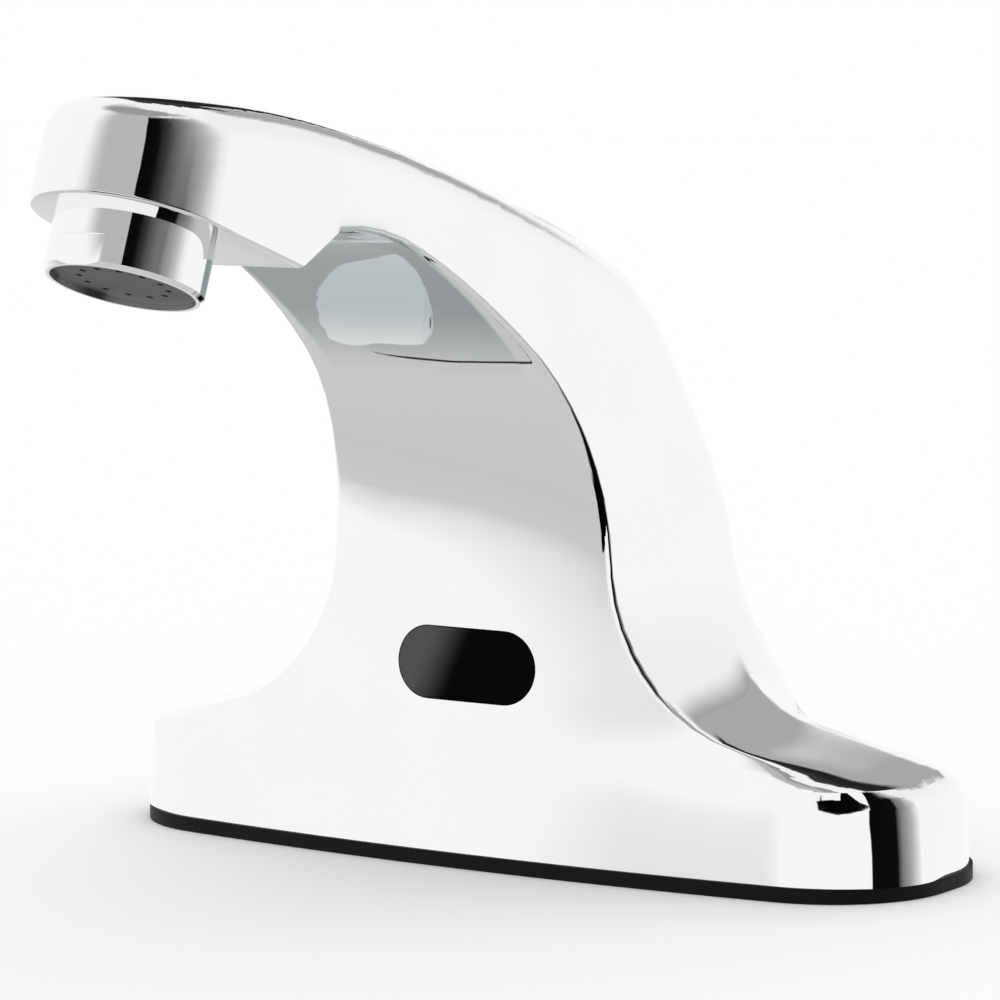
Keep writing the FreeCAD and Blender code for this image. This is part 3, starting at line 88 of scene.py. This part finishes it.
class Tree:
    """a shader's node tree; every node but plain arithmetic comes from node()"""

    def __init__(self, owner):
        owner.use_nodes = True
        self.owner, self.nodes, self.links = owner, owner.node_tree.nodes, owner.node_tree.links

    def node(self, kind, settings=None, *values, output=0, **named):
        made = self.nodes.new(kind)
        for name, value in (settings or {}).items():
            if name == "stops":
                self.set_stops(made.color_ramp, value)
            else:
                setattr(made, name, value)
        for key, value in list(enumerate(values)) + list(named.items()):
            socket = made.inputs[key.replace("_", " ") if isinstance(key, str) else key]
            if isinstance(value, Socket):
                self.links.new(value.output, socket)
            else:
                socket.default_value = value
        return Socket(self, [out for out in made.outputs if out.enabled][output])

    @staticmethod
    def set_stops(ramp, stops):
        while len(ramp.elements) < len(stops):
            ramp.elements.new(0.5)
        for element, (place, grey) in zip(ramp.elements, stops):
            element.position, element.color = place, (grey, grey, grey, 1)

    def rise(self, value, low, high):
        """0 below low, 1 above high, smooth between; falls where high is less than low"""
        return self.node("ShaderNodeMapRange", {"interpolation_type": "SMOOTHSTEP"}, value, low, high)

    def ramp(self, value, low, high, stops):
        """grey levels read at places between low and high"""
        spread = [((place - low) / (high - low), grey) for place, grey in stops]
        return self.node("ShaderNodeValToRGB", {"stops": spread}, (value - low) * (1.0 / (high - low)))


class Finish(Tree):
    """one material: its shader's plain numbers, and the nodes that vary over the surface"""

    def __init__(self, name, **plain):
        super().__init__(bpy.data.materials.new(name))
        self.material = self.owner
        self.shader = self.nodes["Principled BSDF"]
        for socket, value in plain.items():
            self.shader.inputs[socket.replace("_", " ")].default_value = value

    def place(self):
        """object coordinates"""
        return self.node("ShaderNodeTexCoord", output=3)

    def noise(self, scale, detail=3.0):
        return self.node("ShaderNodeTexNoise", None, Vector=self.place(), Scale=scale, Detail=detail)

    def vary(self, name, value):
        self.links.new(value.output, self.shader.inputs[name])
        return self

    def bump(self, height, strength, distance):
        made = self.node("ShaderNodeBump", None, Height=height, Strength=strength, Distance=distance)
        return self.vary("Normal", made)

    def tint(self, factor, low, high):
        """base colour between two colours"""
        return self.vary("Base Color", self.node("ShaderNodeMix", {"data_type": "RGBA", "clamp_factor": True},
                                                 Factor=factor, A=(*low, 1), B=(*high, 1)))


def chrome_plate(name):
    """bright plate with a little random tone; a painted reflection makes it darker and a little green under the arch
    """
    plate = Finish(name, Metallic=1.0, Roughness=0.03)
    split = plate.node("ShaderNodeSeparateXYZ", None, plate.place())
    x, y, z = [Socket(plate, split.output.node.outputs[k]) for k in range(3)]
    # painted reflection: mask of the patch under the arch, which is tinted darker grey-green in place of a
    # reflection
    painted_arch_reflection = plate.rise(z, 0.082, 0.096) * plate.rise(z, 0.112, 0.107) * plate.rise(y, -0.090, -0.086) * plate.rise(
        y, -0.016, -0.022) * plate.rise(x.math("ABSOLUTE", x), 0.0198, 0.0186)
    # random tone from noise, and the full darker grey-green where the painted reflection lies
    plate.tint(plate.noise(40.0) * 0.05 * (1.0 - painted_arch_reflection) + painted_arch_reflection, (0.925, 0.93, 0.935), (0.47, 0.515, 0.52))
    plate.vary("Roughness", plate.noise(300.0) * 0.015 + 0.02)
    return plate.material


def moulded(name, colour, roughness, grain=1500.0, depth=0.00003, sheen_level=0.5):
    plastic = Finish(name, Specular_IOR_Level=sheen_level)
    lighter = tuple(min(1.0, c * 1.12 + 0.002) for c in colour)
    plastic.tint(plastic.noise(120.0), colour, lighter)
    plastic.vary("Roughness", plastic.noise(200.0) * 0.12 + (roughness - 0.06))
    plastic.bump(plastic.noise(grain), 0.35, depth)
    return plastic.material


def metal(name, colour, roughness, grain=900.0):
    plain = Finish(name, Metallic=1.0)
    plain.tint(plain.noise(60.0), colour, tuple(min(1.0, c * 1.08) for c in colour))
    plain.vary("Roughness", plain.noise(150.0) * 0.1 + (roughness - 0.05))
    plain.bump(plain.noise(grain), 0.2, 0.00002)
    return plain.material


def dark_lens(name):
    """black glass that passes infrared, with a painted sheen: its coat is painted in towards one end"""
    lens = Finish(name, Coat_Roughness=0.05, Coat_IOR=1.75, Specular_IOR_Level=0.02)
    lens.tint(lens.noise(80.0), (0.0005, 0.0005, 0.0006), (0.0015, 0.0015, 0.0018))
    lens.vary("Roughness", lens.noise(400.0) * 0.03 + 0.10)
    across = lens.node("ShaderNodeSeparateXYZ", None, lens.place())
    height = Socket(lens, across.output.node.outputs[2])
    # painted sheen: coat weight rises towards -x and towards the top of the window
    lens.vary("Coat Weight", lens.rise(across * -1.0 + (height - 0.0377) * 0.45, -0.0005, 0.0085))
    return lens.material


FINISHES = {
    "chrome_casting": chrome_plate("chrome_casting"),
    "chrome_trim": chrome_plate("chrome_trim"),
    "brass": metal("machined_brass", (0.72, 0.52, 0.24), 0.25),
    "copper": metal("drawn_copper", (0.72, 0.38, 0.24), 0.22),
    "steel": metal("stainless_steel", (0.56, 0.56, 0.55), 0.28),
    "black_rubber": moulded("black_rubber", (0.004, 0.004, 0.004), 0.55, sheen_level=0.12),
    "grey_plastic": moulded("grey_plastic", (0.022, 0.023, 0.024), 0.42),
    "black_plastic": moulded("black_plastic", (0.02, 0.02, 0.022), 0.40),
    "white_plastic": moulded("white_plastic", (0.78, 0.78, 0.75), 0.38),
    "board_green": moulded("board_green", (0.02, 0.16, 0.06), 0.30),
    "dark_lens": dark_lens("dark_lens"),
    "clear_epoxy": moulded("clear_epoxy", (0.62, 0.68, 0.75), 0.08),
    "dark_epoxy": moulded("dark_epoxy", (0.03, 0.02, 0.04), 0.08),
}

for entry in frame["record"]["subparts"]:
    piece = nodes[entry["node"]]
    piece.data.materials.clear()
    piece.data.materials.append(FINISHES[entry["material_slot"]])


# ---------------------------------------------------------------- casting

def polished(node, keep_angle):
    """a merged, smooth-shaded copy of a node, for a surface that mirrors its surroundings"""
    source = nodes[node]
    copy = source.copy()
    copy.data = source.data.copy()
    copy.name = node + "_polished"
    bpy.context.collection.objects.link(copy)
    copy.parent = None
    bpy.ops.object.select_all(action="DESELECT")
    bpy.context.view_layer.objects.active = copy
    copy.select_set(True)
    if copy.data.has_custom_normals:
        bpy.ops.mesh.customdata_custom_splitnormals_clear()
    bpy.ops.object.mode_set(mode="EDIT")
    bpy.ops.mesh.select_all(action="SELECT")
    bpy.ops.mesh.remove_doubles(threshold=0.00001)
    bpy.ops.object.mode_set(mode="OBJECT")
    bpy.ops.object.shade_smooth_by_angle(angle=math.radians(keep_angle))
    bpy.ops.object.select_all(action="DESELECT")
    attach(copy, "tap")
    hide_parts(node)
    return copy


def ease(value, low, high):
    """0 below low, 1 above high, smooth between"""
    part = min(1.0, max(0.0, (value - low) / (high - low)))
    return part * part * (3.0 - 2.0 * part)


def cut_across(piece, axis, places):
    """edges all round a piece in planes across an axis, so that its long faces can be bent"""
    bpy.context.view_layer.objects.active = piece
    piece.select_set(True)
    bpy.ops.object.mode_set(mode="EDIT")
    for place in places:
        bpy.ops.mesh.select_all(action="SELECT")
        bpy.ops.mesh.bisect(plane_co=[place * part for part in axis], plane_no=axis, threshold=0.00002)
    bpy.ops.object.mode_set(mode="OBJECT")
    piece.select_set(False)


HALF_LENGTH = cad_box[1][0]

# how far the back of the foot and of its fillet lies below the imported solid's, at distances from the middle
BACK_DROP = [(0.0320, 0.0), (0.0350, 0.0022), (0.0385, 0.0050), (0.0450, 0.0046), (0.0560, 0.0031), (0.0700, 0.0027),
             (0.0790, 0.0022)]


def back_drop(side):
    for (near, less), (far, more) in zip(BACK_DROP, BACK_DROP[1:]):
        if near <= side < far:
            return less + (more - less) * ease(side, near, far)
    return 0.0


def crown_feet(casting):
    """the feet fall away towards the back, and meet the neck there in a tight fillet"""
    for vertex in casting.data.vertices:
        x, y, z = vertex.co
        if z > 0.0152 or abs(x) > 0.0215:
            high = ease(z, 0.0040, 0.0165)
            crown = 0.00115 * ease(abs(x), 0.038, 0.055) * ease(y, -0.014, 0.002) * (1.0 - ease(y, 0.010, 0.017))
            vertex.co.z += (crown - back_drop(abs(x)) * ease(y, 0.002, 0.017)) * high
            full = 0.0011 * ease(abs(x), 0.064, 0.0765) * ease(-y, 0.000, 0.010) * (1.0 - ease(z, 0.016, 0.024))
            vertex.co.x = math.copysign(min(abs(x) + full, HALF_LENGTH), x)


def even_out(piece, reach, keep_angle):
    """shading normals averaged over the surface near them that faces much the same way, so that facets don't show"""
    mesh = piece.data
    mesh.calc_loop_triangles()
    points, directions = [], []
    for triangle in mesh.loop_triangles:
        a, b, c = (mesh.vertices[index].co for index in triangle.vertices)
        share = max(1, math.ceil(triangle.area / 0.0000025))
        for k in range(share):
            u, v = ((k + 0.5) / share, (k * 0.618034 + 0.31) % 1.0)
            u = math.sqrt(u)
            points.append(a * (1.0 - u) + b * (u * (1.0 - v)) + c * (u * v))
            directions.append(triangle.normal[:] + (triangle.area / share,))
    tree = KDTree(len(points))
    for index, point in enumerate(points):
        tree.insert(point, index)
    tree.balance()
    directions = np.array(directions)
    limit = math.cos(math.radians(keep_angle))
    made = {}
    normals = []
    for loop, corner in zip(mesh.loops, mesh.corner_normals):
        normal = corner.vector
        key = (loop.vertex_index, round(normal.x * 50), round(normal.y * 50), round(normal.z * 50))
        if key not in made:
            found = tree.find_range(mesh.vertices[loop.vertex_index].co, reach)
            near = directions[[index for _, index, _ in found]]
            away = np.array([distance for _, _, distance in found]) / reach
            alike = np.clip(near[:, :3] @ np.array(normal[:]) - limit, 0.0, None)
            weight = near[:, 3] * alike * (1.0 - away * away) ** 2
            total = weight @ near[:, :3] if len(found) else np.zeros(3)
            size = np.linalg.norm(total)
            made[key] = tuple(total / size) if size > 1e-14 else tuple(normal)
        normals.append(made[key])
    mesh.normals_split_custom_set(normals)


casting = polished("body", 35)
cut_across(casting, (0, 1, 0), [0.0030 * step for step in range(-40, 9)])
cut_across(casting, (0, 0, 1), [0.0030 * step for step in range(5, 43)])
cut_across(casting, (1, 0, 0), [0.0040 * step for step in (*range(-19, -6), *range(7, 20))])
crown_feet(casting)
even_out(casting, 0.0085, 28)
aerator = polished("aerator_housing", 30)
window = polished("sensor_window", 30)


# ---------------------------------------------------------------- ground, light and camera

def add_ground():
    """white ground that shows only the object's soft shadow; the plating mirrors the studio instead of it"""
    bpy.ops.mesh.primitive_plane_add(size=8.0, location=(0, 0, -0.0001))
    ground = bpy.context.object
    ground.name = "ground"
    white = Finish("white_ground", Roughness=1.0)
    white.shader.inputs["Base Color"].default_value = (1, 1, 1, 1)
    white.shader.inputs["Specular IOR Level"].default_value = 0.0
    ground.data.materials.append(white.material)
    ground.visible_glossy = False
    return ground


def add_studio():
    """even white light; mirrors also see the studio's dark flags, its grey floor and its dark ceiling"""
    world = bpy.data.worlds.new("studio")
    bpy.context.scene.world = world
    studio = Tree(world)
    sky = studio.node("ShaderNodeTexCoord")
    split = studio.node("ShaderNodeSeparateXYZ", None, sky)
    x, y, z = [Socket(studio, split.output.node.outputs[k]) for k in range(3)]
    degrees = 180.0 / math.pi
    turn = x.math("ARCTAN2", x, y * -1.0) * degrees
    rise = z.math("ARCSINE", z) * degrees
    slant = (studio.node("ShaderNodeClamp", None, turn, -50.0, -24.0) + 36.0) * studio.rise(turn, 0, -15) * 0.8
    floor = studio.ramp(rise - slant, -90, 90, [(-90, 0.60), (-50, 0.64), (-28, 0.60), (-19, 0.63), (-16, 0.78), (-13, 0.88),
                                                (-9, 1.0)])
    pale = studio.rise(turn, -45, -10) * studio.rise(turn, 60, 45) * studio.rise(rise, 14, 24)
    start = studio.ramp(rise, -90, 90, [(-90, 0.27), (-10.5, 0.27), (-9, 0.69), (0, 0.69), (10, 0.62), (30, 0.56)]) * 200.0 - 78.0
    low_fade = studio.ramp(turn, 0, 180, [(0, 0.0), (87, 0.004), (92, 0.19), (100, 0.33), (108, 0.52), (119, 0.88), (126, 1.0)])
    high_fade = studio.ramp(turn, 0, 180, [(0, 0.0), (49, 0.006), (60, 0.039), (71, 0.13), (87, 0.33), (98, 0.50), (116, 0.93)])
    high = studio.rise(rise, 4, 26)
    fade = low_fade * (1.0 - high) + high_fade * high
    flag = 1.0 - studio.rise(turn - start, 0.0, 0.8) * (1.0 - fade)
    flag_height = studio.rise(rise, -38, -30) * studio.rise(rise, 60, 52)
    behind = (studio.rise(turn, 166, 180) + studio.rise(turn, -156, -160)) * studio.rise(rise, 17, 22) * studio.rise(
        rise, 52, 42)
    edge = studio.rise(turn, -158, -155) * studio.rise(turn, -138, -141) * studio.rise(rise, 12, 16) * studio.rise(rise, 40, 36)
    brow = studio.rise(turn, -173, -168) * studio.rise(turn, -138, -141) * studio.rise(rise, 35, 38) * studio.rise(rise, 60, 55)
    ceiling = 0.34 + studio.rise(turn.math("ABSOLUTE", turn), 80, 140) * 0.62
    above = studio.rise(rise, 56, 66)
    light = floor * (1.0 - pale * 0.5) * (1.0 - behind * 0.58)
    light = light * (1.0 - flag_height * (1.0 - flag)) * (1.0 - edge * 0.98) * (1.0 - brow * 0.96)
    light = light * (1.0 - above) + ceiling * above
    mirrored = studio.node("ShaderNodeLightPath", output=3)
    grey = 1.0 - mirrored * (1.0 - light)
    background = studio.nodes["Background"]
    studio.links.new(grey.output, background.inputs["Color"])


def add_camera():
    data = bpy.data.cameras.new("camera")
    camera = bpy.data.objects.new("camera", data)
    bpy.context.collection.objects.link(camera)
    data.sensor_width = 36.0
    data.lens = 36.0 * 4560.0 / 1000.0
    data.clip_start = 0.01
    forward = Vector((-0.54295, 0.83313, -0.10536))
    turn = forward.to_track_quat("-Z", "Y").to_matrix().to_4x4()
    camera.matrix_world = Matrix.Translation((0.41606, -0.65307, 0.14145)) @ turn
    bpy.context.scene.camera = camera


ground = add_ground()
add_studio()
add_camera()
bpy.context.scene.view_settings.view_transform = "Standard"
